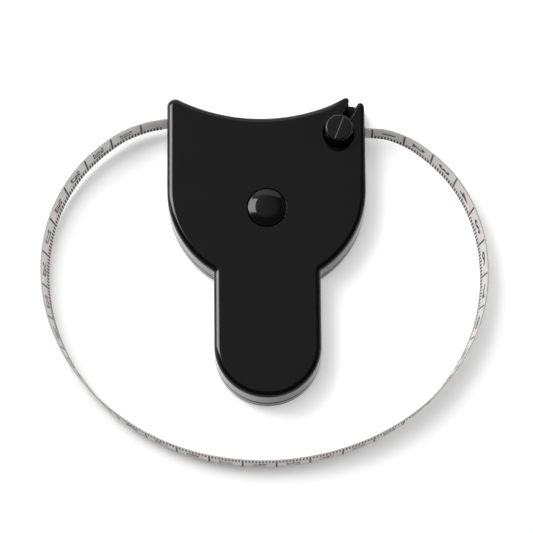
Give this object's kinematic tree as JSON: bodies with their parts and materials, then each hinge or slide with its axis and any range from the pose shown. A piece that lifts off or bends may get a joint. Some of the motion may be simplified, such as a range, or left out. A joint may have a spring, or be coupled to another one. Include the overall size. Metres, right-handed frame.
{
  "type": "retractable body tape measure",
  "caption": "Flat Y-shaped two-shell case with a handle, a spring-wound tape let out by a push button, and a lock peg that holds the tape's end in a slotted bay.",
  "frame": {"origin": "on the rear face, on the axis of the drum and the push button", "axes": "+Z from the rear face to the button face, +Y from the handle to the concave edge, +X to the lock peg's side"},
  "size_m": [0.1337, 0.1108, 0.019],
  "materials": {
    "black_abs": "moulded black ABS, semi-gloss",
    "black_button": "moulded black ABS, semi-gloss",
    "black_peg": "moulded black ABS, satin",
    "coated_tape": "fibreglass cloth with a satin white coating, printed centimetre scale",
    "white_acetal": "moulded white acetal",
    "spring_steel": "blue-grey spring steel",
    "brake_rubber": "matt rubber",
    "zinc_steel": "zinc-plated steel"
  },
  "bodies": {
    "case": {"front_shell": "black_abs", "rear_shell": "black_abs", "case_screw_left": "zinc_steel", "case_screw_right": "zinc_steel", "case_screw_handle": "zinc_steel", "power_spring": "spring_steel", "button_spring": "spring_steel", "tape_lead": "coated_tape", "tape_loop": "coated_tape"},
    "button": {"push_button": "black_button", "brake_ring": "brake_rubber"},
    "drum": {"tape_drum": "white_acetal", "drum_cover": "white_acetal", "tape_roll": "coated_tape"},
    "peg": {"lock_peg": "black_peg", "tape_end": "coated_tape"}
  },
  "joints": [
    {"name": "button_press", "type": "slide", "parent": "case", "child": "button", "axis": [0, 0, -1], "range_m": [0, 0.0015], "stiffness_N_per_m": 400, "springref_m": -0.002, "deforming": ["button_spring"]},
    {"name": "drum_spin", "type": "hinge", "parent": "case", "child": "drum", "pos_m": [0, 0, 0.006], "axis": [0, 0, 1], "range_deg": [-900, 3930], "deforming": ["power_spring"]},
    {"name": "peg_lift", "type": "slide", "parent": "case", "child": "peg", "axis": [0, 0, 1], "range_m": [0, 0.0175], "deforming": ["tape_end"]}
  ]
}
